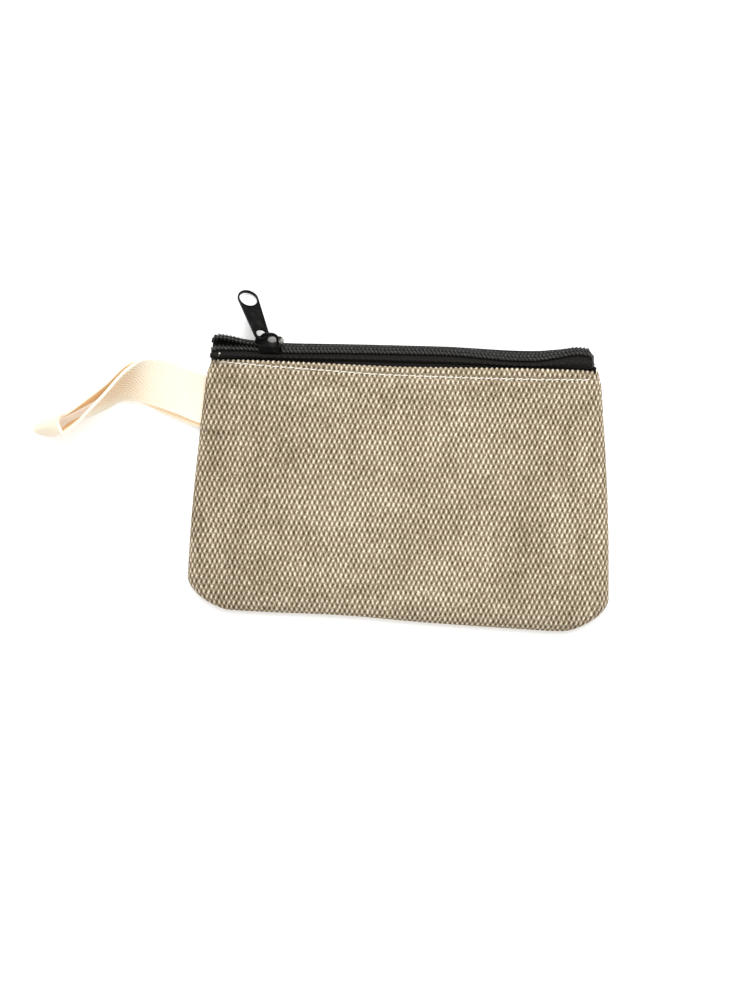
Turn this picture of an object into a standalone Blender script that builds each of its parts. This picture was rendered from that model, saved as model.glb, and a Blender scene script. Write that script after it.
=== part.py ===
"""Zippered canvas pouch with a cotton wrist loop, lying on its back panel.

Metres, +Z up. X runs along the zip towards the end where it finishes open, Y runs
from the bottom seam towards the zip, and the pouch rests on the plane Z = 0.
Soft pieces are plain closed solids; every piece of the zip and its slider is separate.
"""

import math

import bmesh
import bpy
from mathutils import Euler, Matrix, Vector

MM = 0.001
GAP = 0.3 * MM

# Canvas body: a trapezium with rounded bottom corners and a slightly sloping bottom seam.
CANVAS = 1.0 * MM
HALF_WIDTH_BOTTOM = 70.3 * MM
SIDE_TAPER = 5.4 * MM
TOP_Y = 41.1 * MM
BOTTOM_Y = -43.7 * MM
BOTTOM_SLOPE = -0.035
BOTTOM_BOW = 0.7 * MM
BOTTOM_BOW_X = -18.0 * MM
BOTTOM_BOW_WIDTH = 20.0 * MM
BOTTOM_RISE = 1.0 * MM
BOTTOM_RISE_START = 50.0 * MM
BOTTOM_RISE_END = 66.0 * MM
CORNER_X = 15.0 * MM
CORNER_Y = 10.5 * MM
CORNER_POWER = 1.65

# Heights of the seam line and of the puffed front panel above the table.
SEAM_Z = 2.0 * MM
SEAM_RISE_AT_MOUTH = 1.9 * MM
SEAM_RISE_START = 0.78
SEAM_HALF_GAP = (CANVAS + GAP) / 2
FRONT_ROLL = 1.5 * MM
FRONT_PUFF = 3.8 * MM
PUFF_REACH = 9.0 * MM
PUFF_LOST_AT_MOUTH = 0.12
BACK_CURL = 1.35 * MM
BACK_LIFT = 1.4 * MM
BACK_LIFT_START = 36.8 * MM
BACK_LIFT_END = 39.4 * MM

# Zip: the chain lies in a plane that faces away from the front panel and upwards.
CHAIN_Y = 46.05 * MM
CHAIN_Z = 7.4 * MM
CHAIN_ELEVATION = math.radians(42.0)
TAPE = 0.5 * MM
TAPE_DEPTH = 1.15 * MM
TAPE_EDGE = 0.85 * MM
LINING_OFFSET = (CANVAS + TAPE) / 2 + GAP
TAPE_LEAVES_Y = 42.2 * MM
TAPE_LOW_Y = 37.0 * MM
TAPE_STITCHED_Y = 39.5 * MM
TAPE_BACK_Z = 3.1 * MM
TAPE_FRONT_TOP_Y = 41.6 * MM
TAPE_FRONT_BEND = (41.9 * MM, 8.1 * MM)
TAPE_RIDGE = 3.9 * MM
TAPE_RIDGE_EASE = (-1.2 * MM, -0.35 * MM)
TAPE_RIDGE_ROUND = -0.1 * MM
TAPE_FRONT_FOLD = 3.3 * MM
TAPE_BACK_FOLD = 3.5 * MM
TAPE_BACK_BENDS = ((41.2 * MM, 3.05 * MM), (46.0 * MM, 2.45 * MM), (47.9 * MM, 2.6 * MM))
TAPE_SEWN_HALF = 61.5 * MM
TAPE_FREE_HALF = 64.2 * MM
TAPE_HELD = 0.45
TAPE_LOOSE = 0.95
COIL_WIDTH = 1.9 * MM
COIL_HEIGHT = 1.6 * MM
COIL_LIFT = 0.2 * MM
COIL_ROUNDING = 0.45 * MM
COIL_HALF_LENGTH = 63.4 * MM
SPLIT_START = -42.9 * MM
SPLIT_FULL = -46.9 * MM
SPLIT_IN_SLIDER = 0.6 * MM
SPLAY_CLEARANCE = 1.0 * MM
SPLAY_END = -62.0 * MM
SPLAY_FRONT = 0.5 * MM
SPLAY_BACK = 0.8 * MM
SPLAY_RISE = 1.5 * MM

# Slider, on the chain's own axes: length along X, width across, height along the normal.
SLIDER_X = -44.9 * MM
SLIDER_HALF_LENGTH = 4.2 * MM
SLIDER_HALF_WIDE = 3.35 * MM
SLIDER_HALF_NARROW = 3.0 * MM
SLIDER_WALL = 0.4 * MM
SLIDER_ROUNDING = 0.5 * MM
SLIDER_SHOULDER = 2.0 * MM
SLIDER_TAIL = 1.2 * MM
SLIDER_WAIST = 0.15 * MM
PLATE_TOP = 2.0 * MM
PLATE_BOTTOM = -2.4 * MM
CUT_THROUGH = 1.0 * MM
CHANNEL_FUNNEL = (-1.8 * MM, 0.6 * MM)
CHANNEL_NARROWING = 0.1 * MM
CHANNEL_TOP = 1.3 * MM
CHANNEL_BOTTOM = -1.7 * MM
SLOT_TOP = -0.62 * MM
BRIDGE_WIRE = 0.53 * MM
BRIDGE_HALF_SPAN = 2.75 * MM
BRIDGE_HEIGHT = 4.85 * MM
BRIDGE_BEND = 2.1 * MM
WEDGE_START = 0.5 * MM
WEDGE_SHOULDER = 1.3 * MM
WEDGE_WAIST = 2.2 * MM
WEDGE_TIP = 3.2 * MM
WEDGE_HALF_WIDTH = 0.45 * MM
LUG_START = 3.6 * MM
LUG_END = 4.7 * MM
LUG_HALF_WIDTH = 0.9 * MM
LUG_TOP = 2.9 * MM
LUG_BOTTOM = 1.4 * MM
LUG_ROUNDING = 0.35 * MM

# Pull tab: a tapered plate with a round finger hole and a small eye round the bridge.
TAB_THICK = 0.8 * MM
TAB_LENGTH = 16.0 * MM
TAB_END_RADIUS = 3.55 * MM
TAB_HOLE_RADIUS = 3.05 * MM
TAB_HOLE_BACK = 0.25 * MM
TAB_EYE_RADIUS = 2.6 * MM
TAB_EYE_HOLE = 1.8 * MM
TAB_EYE_OFFSET = 0.75 * MM
TAB_EYE_SIDE = -0.15 * MM
TAB_RIM = 0.55 * MM
TAB_RECESS = 0.14 * MM
TAB_ROUNDING = 0.14 * MM
RECESS_CORNER = 6.0
PULL_BEND_ANGLE = math.radians(138.0)
TAB_HEADING = math.radians(23.6)
TAB_DROOP = math.radians(27.6)
TAB_ROLL = math.radians(30.0)

# Wrist loop: cotton tape. Each station holds the upper and the lower edge of the tape.
LOOP_TAPE = 1.0 * MM
LOOP_WIDTH = 15.9 * MM
LOOP_STATIONS = (
    ((-67.2, 37.0, 3.55), (-68.9, 21.3, 3.55)),
    ((-75.6, 39.2, 6.4), (-77.0, 23.7, 4.3)),
    ((-84.4, 40.4, 10.8), (-86.2, 26.4, 3.2)),
    ((-90.6, 36.4, 14.4), (-93.9, 27.1, 1.5)),
    ((-97.3, 28.0, 15.8), (-99.5, 24.3, 0.75)),
    ((-102.9, 21.6, 16.3), (-104.9, 21.7, 0.7)),
    ((-105.3, 19.0, 16.2), (-107.8, 20.9, 0.7)),
    ((-108.2, 16.4, 16.0), (-111.4, 18.9, 0.7)),
    ((-111.0, 15.2, 14.4), (-116.6, 14.9, 0.8)),
    ((-113.2, 18.2, 12.0), (-123.0, 15.9, 0.8)),
    ((-112.0, 20.4, 12.6), (-121.2, 19.3, 0.8)),
    ((-108.9, 21.8, 14.8), (-113.6, 21.3, 0.7)),
    ((-103.6, 25.8, 16.2), (-105.2, 25.9, 0.7)),
    ((-97.0, 31.3, 15.9), (-99.1, 29.1, 0.7)),
    ((-91.0, 37.6, 12.6), (-93.6, 28.7, 0.75)),
    ((-85.2, 39.5, 8.5), (-86.7, 26.3, 1.1)),
    ((-76.0, 37.9, 4.6), (-77.4, 22.3, 2.0)),
    ((-67.2, 35.0, 2.05), (-68.9, 19.2, 2.05)),
)
TAIL_DEPTH = 6.5 * MM
TAIL_WIDTH = 15.2 * MM
TAIL_FROM_SEAM = 4.3 * MM
TAIL_THICK = 2.0 * MM
TAIL_ROUNDING = 0.3 * MM

# Threads.
THREAD = 0.25 * MM
TOPSTITCH_BACK = ((-60.0, 40.0), (0.0, 40.0), (60.0, 40.0))
TOPSTITCH_FRONT = ((-60.5, 39.6), (-45.0, 38.3), (-25.0, 37.6), (0.0, 37.3), (30.0, 37.6), (61.0, 38.5))
SEAM_STITCH_INSET = 1.75 * MM
SEAM_STITCH_Z = 2.3 * MM
SEAM_STITCH_TOP = 0.84
SEAM_STITCH_CORNER = 0.14
TACK_X = 62.6 * MM
TACK_FOOT = (0.3 * MM, 1.3 * MM)
TACK_HEAD = (1.5 * MM, 1.7 * MM)
TOPSTITCH_STEPS = 24
SIDE_STITCH_STEPS = 13
CORNER_STITCH_STEPS = 6
BOTTOM_STITCH_STEPS = 8

PANEL_COLUMNS = 26
PANEL_ROWS = 20
TAPE_COLUMNS = 30
COIL_ROWS = 44
PANEL_ROW_CROWDING = 1.55
LOOP_COLUMNS = 3
LOOP_ROWS = 66

CANVAS_GREY = (0.40, 0.33, 0.24)
ZIP_BLACK = (0.016, 0.015, 0.015)
LACQUER_BLACK = (0.014, 0.014, 0.014)
COTTON_CREAM = (0.86, 0.80, 0.66)
THREAD_WHITE = (0.85, 0.82, 0.74)


def clear_scene():
    for obj in list(bpy.data.objects):
        bpy.data.objects.remove(obj, do_unlink=True)


def new_collection(name):
    group = bpy.data.collections.new(name)
    bpy.context.scene.collection.children.link(group)
    return group


def material(name, color, roughness, metallic=0.0):
    made = bpy.data.materials.new(name)
    made.use_nodes = True
    shader = made.node_tree.nodes["Principled BSDF"]
    shader.inputs["Base Color"].default_value = (*color, 1.0)
    shader.inputs["Roughness"].default_value = roughness
    shader.inputs["Metallic"].default_value = metallic
    return made


def move_to(obj, group):
    for owner in list(obj.users_collection):
        owner.objects.unlink(obj)
    group.objects.link(obj)


def smoothstep(value, start, end):
    t = min(max((value - start) / (end - start), 0.0), 1.0)
    return t * t * (3.0 - 2.0 * t)


def through(points, t):
    """The point at t, from 0 to 1, on a Catmull-Rom curve through the points."""
    last = len(points) - 1
    at = min(max(t, 0.0), 1.0) * last
    i = min(int(at), last - 1)
    f = at - i
    a, b, c, d = (Vector(points[min(max(k, 0), last)]) for k in (i - 1, i, i + 1, i + 2))
    square = 2 * a - 5 * b + 4 * c - d
    cube = 3 * b - a - 3 * c + d
    return 0.5 * (2 * b + (c - a) * f + square * f**2 + cube * f**3)


# Canvas panels ---------------------------------------------------------------


def bottom_y(x):
    bow = BOTTOM_BOW * math.exp(-(((x - BOTTOM_BOW_X) / BOTTOM_BOW_WIDTH) ** 2))
    rise = BOTTOM_RISE * smoothstep(x, BOTTOM_RISE_START, BOTTOM_RISE_END)
    return BOTTOM_Y + BOTTOM_SLOPE * x + bow + rise


def row_half_width(v):
    """Half the panel's width at v, from 0 at the bottom seam to 1 at the mouth."""
    corner = CORNER_Y / (TOP_Y - BOTTOM_Y)
    lost = 0.0
    if v < corner:
        lost = CORNER_X * (1.0 - (1.0 - (1.0 - v / corner) ** CORNER_POWER) ** (1.0 / CORNER_POWER))
    return HALF_WIDTH_BOTTOM - SIDE_TAPER * v * v - lost


def panel_xy(u, v):
    x = u * row_half_width(v)
    y = bottom_y(x)
    return x, y + v * (TOP_Y - y)


def panel_uv(x, y):
    v = (y - bottom_y(x)) / (TOP_Y - bottom_y(x))
    return x / row_half_width(v), v


def from_seam(u, v):
    """About how far a point of the panel is from the nearest sewn edge."""
    across = (1.0 - abs(u)) * row_half_width(v)
    up = v * (TOP_Y - BOTTOM_Y)
    return across * up / max(across + up, 1e-9)


def seam_height(v):
    return SEAM_Z + SEAM_RISE_AT_MOUTH * smoothstep(v, SEAM_RISE_START, 1.0)


def quarter_round(distance, radius):
    """A quarter circle's rise: 0 at the edge, the whole radius once past it."""
    short = 1.0 - min(distance / radius, 1.0)
    return radius * math.sqrt(1.0 - short * short)


def front_height(u, v):
    d = from_seam(u, v)
    puff = FRONT_PUFF * (1.0 - math.exp(-d / PUFF_REACH)) * (1.0 - PUFF_LOST_AT_MOUTH * v)
    return seam_height(v) + SEAM_HALF_GAP + quarter_round(d, FRONT_ROLL) + puff


def back_height(u, v):
    d = from_seam(u, v)
    lift = BACK_LIFT * smoothstep(panel_xy(u, v)[1], BACK_LIFT_START, BACK_LIFT_END)
    flat = CANVAS / 2 + lift
    edge = seam_height(v) - SEAM_HALF_GAP
    return edge - (edge - flat) * quarter_round(d, BACK_CURL) / BACK_CURL


def sheet(name, columns, rows, place, thickness, finish, group):
    """A grid shaped by place(a, b), with a and b from -1 to 1, thickened about its middle."""
    bpy.ops.mesh.primitive_grid_add(x_subdivisions=columns, y_subdivisions=rows, size=2)
    obj = bpy.context.object
    obj.name = name
    obj.data.name = name
    for vertex in obj.data.vertices:
        vertex.co = place(vertex.co.x, vertex.co.y)
    thicken = obj.modifiers.new("thickness", "SOLIDIFY")
    thicken.thickness = thickness
    thicken.offset = 0.0
    obj.data.materials.append(finish)
    obj.data.shade_smooth()
    move_to(obj, group)
    return obj


def panel(name, height, finish, group):
    def place(a, b):
        u = math.sin(a * math.pi / 2)
        v = ((b + 1.0) / 2) ** PANEL_ROW_CROWDING
        x, y = panel_xy(u, v)
        return Vector((x, y, height(u, v)))

    return sheet(name, PANEL_COLUMNS, PANEL_ROWS, place, CANVAS, finish, group)


# Zip tapes and coils -----------------------------------------------------------


def chain_axes():
    """Unit vectors of the chain's plane: its normal, and across it towards the front panel."""
    normal = Vector((0.0, math.cos(CHAIN_ELEVATION), math.sin(CHAIN_ELEVATION)))
    across = Vector((0.0, -math.sin(CHAIN_ELEVATION), math.cos(CHAIN_ELEVATION)))
    return normal, across


def chain_point(x, across, normal):
    n, l = chain_axes()
    return Vector((x, CHAIN_Y, CHAIN_Z)) + l * across + n * normal


def split(x):
    """How far each row stands off its closed place, left of the slider's wedge."""
    return SPLIT_IN_SLIDER * smoothstep(-x, -SPLIT_START, -SPLIT_FULL)


def splay(x):
    """0 at the slider and 1 at the left end, where the open rows spread."""
    return smoothstep(-x, SLIDER_HALF_LENGTH + SPLAY_CLEARANCE - SLIDER_X, -SPLAY_END)


def row_shift(x, side):
    """How far a row has moved from its closed place. side is 1 for the front row, -1 for the back row,
    which also rises where it is splayed."""
    normal, across = chain_axes()
    if side > 0:
        return across * (split(x) + SPLAY_FRONT * splay(x))
    return normal * SPLAY_RISE * splay(x) - across * (split(x) + SPLAY_BACK * splay(x))


def front_tape_profile():
    """Places across the tape from its inner edge to the chain, as y and z. A height of None is
    against the front panel's inner face."""
    ridge = chain_point(0.0, TAPE_RIDGE, -TAPE_DEPTH)
    fold = chain_point(0.0, TAPE_FRONT_FOLD, -TAPE_DEPTH)
    inner = chain_point(0.0, TAPE_EDGE, -TAPE_DEPTH)
    return (
        (TAPE_LOW_Y, None),
        (TAPE_STITCHED_Y, None),
        (TAPE_FRONT_TOP_Y, None),
        TAPE_FRONT_BEND,
        (ridge.y + TAPE_RIDGE_EASE[0], ridge.z + TAPE_RIDGE_EASE[1]),
        (ridge.y + TAPE_RIDGE_ROUND, ridge.z),
        (fold.y, fold.z),
        (inner.y, inner.z),
    )


def back_tape_profile():
    """The same for the back row's tape, which lies on the back panel's lifted hem."""
    fold = chain_point(0.0, -TAPE_BACK_FOLD, -TAPE_DEPTH)
    inner = chain_point(0.0, -TAPE_EDGE, -TAPE_DEPTH)
    hem = ((TAPE_LOW_Y, TAPE_BACK_Z), (TAPE_STITCHED_Y, TAPE_BACK_Z))
    return (*hem, *TAPE_BACK_BENDS, (fold.y, fold.z), (inner.y, inner.z))


def tape(name, profile, side, finish, group):
    """side is 1 for the front row's tape and -1 for the back row's."""
    last = len(profile) - 1

    def place(a, b):
        t = (b + 1.0) / 2
        y, z = profile[round(t * last)]
        x = a * (TAPE_SEWN_HALF if y < TAPE_LEAVES_Y else TAPE_FREE_HALF)
        if z is None:
            z = front_height(*panel_uv(x, y)) - LINING_OFFSET
        free = smoothstep(t, TAPE_HELD, TAPE_LOOSE)
        return Vector((x, y, z)) + row_shift(x, side) * free

    return sheet(name, TAPE_COLUMNS, last, place, TAPE, finish, group)


def coil(name, side, finish, group):
    """One row's coil, as its outer shape: a bar that parts from the other row at the wedge."""
    middle = side * (GAP + COIL_WIDTH) / 2

    def place(a, b):
        x = b * COIL_HALF_LENGTH
        return chain_point(x, middle - a * COIL_WIDTH / 2, COIL_LIFT) + row_shift(x, side)

    obj = sheet(name, 1, COIL_ROWS, place, COIL_HEIGHT, finish, group)
    soften(obj, COIL_ROUNDING)
    return obj


# Curves -------------------------------------------------------------------------


def new_curve(name, points, cyclic=False):
    data = bpy.data.curves.new(name, "CURVE")
    data.dimensions = "3D"
    line = data.splines.new("POLY")
    line.points.add(len(points) - 1)
    for point, place in zip(line.points, points):
        point.co = (*place, 1.0)
    line.use_cyclic_u = cyclic
    obj = bpy.data.objects.new(name, data)
    bpy.context.scene.collection.objects.link(obj)
    return obj


def wire(name, points, radius, finish, group, resolution=1):
    obj = new_curve(name, points)
    obj.data.bevel_depth = radius
    obj.data.bevel_resolution = resolution
    obj.data.use_fill_caps = True
    obj.data.materials.append(finish)
    move_to(obj, group)
    return obj


def arc(cx, cy, radius, start, end, steps):
    """Points on an arc, with angles in degrees."""
    angles = [math.radians(start + (end - start) * i / steps) for i in range(steps + 1)]
    return [(cx + radius * math.cos(a), cy + radius * math.sin(a)) for a in angles]


def plate(name, outlines, low, high):
    """A flat outline, with holes, filled and extruded from low to high, made into a mesh."""
    data = bpy.data.curves.new(name, "CURVE")
    data.dimensions = "2D"
    data.fill_mode = "BOTH"
    data.extrude = (high - low) / 2
    for outline in outlines:
        line = data.splines.new("POLY")
        line.points.add(len(outline) - 1)
        for point, (x, y) in zip(line.points, outline):
            point.co = (x, y, 0.0, 1.0)
        line.use_cyclic_u = True
    flat = bpy.data.objects.new(name + "_outline", data)
    bpy.context.scene.collection.objects.link(flat)
    graph = bpy.context.evaluated_depsgraph_get()
    mesh = bpy.data.meshes.new_from_object(flat.evaluated_get(graph))
    bpy.data.objects.remove(flat, do_unlink=True)
    mesh.name = name
    mesh.transform(Matrix.Translation((0.0, 0.0, (low + high) / 2)))
    weld(mesh)
    obj = bpy.data.objects.new(name, mesh)
    bpy.context.scene.collection.objects.link(obj)
    return obj


def weld(mesh):
    work = bmesh.new()
    work.from_mesh(mesh)
    bmesh.ops.remove_doubles(work, verts=work.verts, dist=1e-6)
    bmesh.ops.recalc_face_normals(work, faces=work.faces)
    work.to_mesh(mesh)
    work.free()


def boolean(obj, other, operation, cutters):
    step = obj.modifiers.new(operation.lower() + "_" + other.name, "BOOLEAN")
    step.operation = operation
    step.object = other
    step.solver = "EXACT"
    other.hide_render = True
    other.display_type = "WIRE"
    move_to(other, cutters)


# Slider and pull tab ----------------------------------------------------------


def slider_outline(half_wide, half_narrow, half_length):
    """Shield shape: rounded shoulders at the wedge end (-X), narrower at the tail (+X)."""
    at = half_length - SLIDER_TAIL
    side = [(at, half_narrow), (0.0, half_narrow + SLIDER_WAIST)]
    wide = arc(SLIDER_SHOULDER - half_length, half_wide - SLIDER_SHOULDER, SLIDER_SHOULDER, 90, 180, 5)
    back = arc(at, half_narrow - SLIDER_TAIL, SLIDER_TAIL, 0, 90, 4)
    upper = back[:-1] + side + wide
    lower = [(x, -y) for x, y in reversed(upper)]
    return upper + lower


def wedge_outline():
    """The divider that parts the two rows, pointing along the closed chain."""
    front = -SLIDER_HALF_LENGTH
    side = [(front + WEDGE_SHOULDER, WEDGE_HALF_WIDTH), (front + WEDGE_WAIST, 0.8 * WEDGE_HALF_WIDTH)]
    other = [(x, -y) for x, y in reversed(side)]
    return [(front + WEDGE_START, 0.0), *side, (front + WEDGE_TIP, 0.0), *other]


def channel_outline():
    end = SLIDER_HALF_LENGTH + CUT_THROUGH
    wide = SLIDER_HALF_WIDE - SLIDER_WALL
    narrow = SLIDER_HALF_NARROW - SLIDER_WALL - CHANNEL_NARROWING
    upper = [(end, narrow), (CHANNEL_FUNNEL[1], narrow), (CHANNEL_FUNNEL[0], wide), (-end, wide)]
    return upper + [(x, -y) for x, y in reversed(upper)]


def slot_outline():
    a, b = SLIDER_HALF_LENGTH + CUT_THROUGH, SLIDER_HALF_WIDE + CUT_THROUGH
    return [(a, b), (-a, b), (-a, -b), (a, -b)]


def slider_frame():
    frame = bpy.data.objects.new("slider_frame", None)
    frame.location = (SLIDER_X, CHAIN_Y, CHAIN_Z)
    frame.rotation_euler = (CHAIN_ELEVATION - math.pi / 2, 0.0, 0.0)
    return frame


def soften(obj, width, segments=2):
    edge = obj.modifiers.new("rounded_edges", "BEVEL")
    edge.width = width
    edge.segments = segments
    edge.limit_method = "ANGLE"
    edge.angle_limit = math.radians(40.0)


def slider_lug(side):
    """A boss that stands on the top plate just outside one of the bridge's feet."""
    bpy.ops.mesh.primitive_cube_add(size=1.0)
    lug = bpy.context.object
    lug.name = "slider_lug_front" if side > 0 else "slider_lug_back"
    lug.data.transform(Matrix.Diagonal((LUG_END - LUG_START, 2 * LUG_HALF_WIDTH, LUG_TOP - LUG_BOTTOM, 1.0)))
    middle = (side * (LUG_START + LUG_END) / 2, 0.0, (LUG_TOP + LUG_BOTTOM) / 2)
    lug.data.transform(Matrix.Translation(middle))
    soften(lug, LUG_ROUNDING)
    return lug


def slider_body(frame, finish, group, cutters):
    outline = slider_outline(SLIDER_HALF_WIDE, SLIDER_HALF_NARROW, SLIDER_HALF_LENGTH)
    body = plate("slider_body", [outline], PLATE_BOTTOM, PLATE_TOP)
    channel = plate("slider_channel", [channel_outline(), wedge_outline()], CHANNEL_BOTTOM, CHANNEL_TOP)
    slot = plate("slider_tape_slot", [slot_outline(), wedge_outline()], CHANNEL_BOTTOM, SLOT_TOP)
    lugs = [slider_lug(side) for side in (-1, 1)]
    soften(body, SLIDER_ROUNDING)
    for lug in lugs:
        boolean(body, lug, "UNION", cutters)
    boolean(body, channel, "DIFFERENCE", cutters)
    boolean(body, slot, "DIFFERENCE", cutters)
    body.data.materials.append(finish)
    move_to(body, group)
    for obj in (body, channel, slot, *lugs):
        obj.parent = frame


def bridge_path():
    """Half the arch over the slider, from a foot to the middle, mirrored to the other foot."""
    foot = PLATE_TOP + GAP
    top = BRIDGE_HEIGHT
    bend = arc(-BRIDGE_HALF_SPAN + BRIDGE_BEND, top - BRIDGE_BEND, BRIDGE_BEND, 180, 90, 6)
    half = [(-BRIDGE_HALF_SPAN, foot)] + bend
    whole = half + [(-x, z) for x, z in reversed(half)]
    return [(x, 0.0, z) for x, z in whole]


def slider_bridge(frame, finish, group):
    obj = wire("slider_bridge", bridge_path(), BRIDGE_WIRE, finish, group, resolution=2)
    obj.parent = frame
    return obj


def pull_pivot():
    """Where the bridge wire runs through the tab's eye."""
    along = SLIDER_X - BRIDGE_HALF_SPAN + BRIDGE_BEND * (1.0 + math.cos(PULL_BEND_ANGLE))
    rise = BRIDGE_HEIGHT - BRIDGE_BEND * (1.0 - math.sin(PULL_BEND_ANGLE))
    return chain_point(along, 0.0, rise)


def tab_outlines():
    """The tab's outline, its finger hole and its eye, seen from above, with the eye's centre at 0."""
    reach = TAB_LENGTH - TAB_EYE_OFFSET
    lean = math.degrees(math.asin((TAB_END_RADIUS - TAB_EYE_RADIUS) / reach))
    outer = arc(0.0, reach, TAB_END_RADIUS, -lean, 180 + lean, 18)
    outer += arc(0.0, 0.0, TAB_EYE_RADIUS, 180 + lean, 360 - lean, 12)
    hole = arc(0.0, reach - TAB_HOLE_BACK, TAB_HOLE_RADIUS, 0, 345, 23)
    eye = arc(0.0, 0.0, TAB_EYE_HOLE, 0, 337.5, 15)
    return outer, hole, eye


def tab_recess_outline():
    """The sunk face between the two holes, a rim's width inside the tab's sides and round each hole."""
    reach = TAB_LENGTH - TAB_EYE_OFFSET
    end, root = TAB_HOLE_RADIUS + TAB_RIM, TAB_EYE_HOLE + TAB_RIM
    at_end = math.degrees(math.acos((TAB_END_RADIUS - TAB_RIM) / end)) + RECESS_CORNER
    at_root = math.degrees(math.acos((TAB_EYE_RADIUS - TAB_RIM) / root)) + RECESS_CORNER
    lower = arc(0.0, 0.0, root, at_root, 180.0 - at_root, 8)
    return lower + arc(0.0, reach - TAB_HOLE_BACK, end, 180.0 + at_end, 360.0 - at_end, 8)


def pull_tab(finish, group, cutters):
    """The tab's own Y runs from the eye to the finger hole and its Z is its upper face."""
    half = TAB_THICK / 2
    obj = plate("pull_tab", tab_outlines(), -half, half)
    faces = [plate("tab_recess_upper", [tab_recess_outline()], half - TAB_RECESS, 2 * half)]
    faces.append(plate("tab_recess_lower", [tab_recess_outline()], -2 * half, TAB_RECESS - half))
    soften(obj, TAB_ROUNDING, 1)
    place = pull_pivot()
    turn = Euler((0.0, TAB_ROLL, 0.0)).to_matrix()
    turn = Euler((-TAB_DROOP, 0.0, 0.0)).to_matrix() @ turn
    turn = Euler((0.0, 0.0, TAB_HEADING)).to_matrix() @ turn
    for piece in (obj, *faces):
        piece.data.transform(Matrix.Translation((TAB_EYE_SIDE, TAB_EYE_OFFSET, 0.0)))
        piece.matrix_world = Matrix.Translation(place) @ turn.to_4x4()
    for face in faces:
        boolean(obj, face, "DIFFERENCE", cutters)
    obj.data.materials.append(finish)
    move_to(obj, group)


# Wrist loop ---------------------------------------------------------------------


def loop_point(across, t):
    """across runs from -1 at the tape's lower edge to 1 at its upper edge, t along it."""
    upper = through([station[0] for station in LOOP_STATIONS], t) * MM
    lower = through([station[1] for station in LOOP_STATIONS], t) * MM
    direction = (upper - lower).normalized()
    return lower + direction * LOOP_WIDTH * (across + 1.0) / 2


def wrist_loop(finish, group):
    def place(a, b):
        return loop_point(a, (b + 1.0) / 2)

    return sheet("wrist_loop", LOOP_COLUMNS, LOOP_ROWS, place, LOOP_TAPE, finish, group)


def seam_side():
    """Middle of the loop's seam on the left edge, and the seam's direction there."""
    upper, lower = (Vector(end) * MM for end in LOOP_STATIONS[0])
    direction = Vector((upper.x - lower.x, upper.y - lower.y, 0.0)).normalized()
    return (upper + lower) / 2, direction


def wrist_loop_tails(finish, group):
    """The two sewn-in ends of the tape, inside the left seam."""
    middle, direction = seam_side()
    bpy.ops.mesh.primitive_cube_add(size=1.0)
    obj = bpy.context.object
    obj.name = "wrist_loop_tails"
    obj.data.name = "wrist_loop_tails"
    obj.data.transform(Matrix.Diagonal((TAIL_DEPTH, TAIL_WIDTH, TAIL_THICK, 1.0)))
    inwards = Vector((direction.y, -direction.x, 0.0))
    centre = middle + inwards * (TAIL_FROM_SEAM + TAIL_DEPTH / 2)
    centre.z = CANVAS + GAP + TAIL_THICK / 2
    obj.location = centre
    obj.rotation_euler = (0.0, 0.0, math.atan2(-direction.x, direction.y))
    soften(obj, TAIL_ROUNDING, 1)
    obj.data.materials.append(finish)
    move_to(obj, group)
    return obj


# Threads ----------------------------------------------------------------------


def topstitch(name, path, side, finish, group):
    """side is 1 above the front panel and -1 below the back panel's lifted hem."""
    points = []
    for i in range(TOPSTITCH_STEPS + 1):
        at = through([(x, y, 0.0) for x, y in path], i / TOPSTITCH_STEPS)
        x, y = at.x * MM, at.y * MM
        height = (front_height if side > 0 else back_height)(*panel_uv(x, y))
        points.append((x, y, height + side * (CANVAS / 2 + GAP + THREAD)))
    return wire(name, points, THREAD, finish, group)


def seam_stitching(finish, group):
    """One line of lockstitch just inside the sides and the bottom."""
    inset = SEAM_STITCH_INSET
    points = []
    for i in range(SIDE_STITCH_STEPS + 1):
        v = SEAM_STITCH_TOP - (SEAM_STITCH_TOP - SEAM_STITCH_CORNER) * i / SIDE_STITCH_STEPS
        points.append((-row_half_width(v) + inset, panel_xy(-1.0, v)[1]))
    corner_y = CORNER_Y - inset
    for i in range(1, CORNER_STITCH_STEPS):
        a = math.radians(90.0 * i / CORNER_STITCH_STEPS)
        x = -HALF_WIDTH_BOTTOM + CORNER_X - (CORNER_X - inset) * math.cos(a)
        points.append((x, bottom_y(x) + CORNER_Y - corner_y * math.sin(a)))
    left = list(points)
    for i in range(1, BOTTOM_STITCH_STEPS):
        x = -(HALF_WIDTH_BOTTOM - CORNER_X) * (1.0 - 2 * i / BOTTOM_STITCH_STEPS)
        points.append((x, bottom_y(x) + inset))
    for x, y in reversed(left):
        points.append((-x, y - bottom_y(x) + bottom_y(-x)))
    return wire("seam_stitching", [(x, y, SEAM_STITCH_Z) for x, y in points], THREAD, finish, group)


def end_tack(name, x, finish, group):
    """A short bar of thread across the front tape, where the zip's end is caught."""
    y, z = front_tape_profile()[4]
    points = [(x, y + a, z + b) for a, b in (TACK_FOOT, TACK_HEAD)]
    return wire(name, points, THREAD, finish, group)


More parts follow.
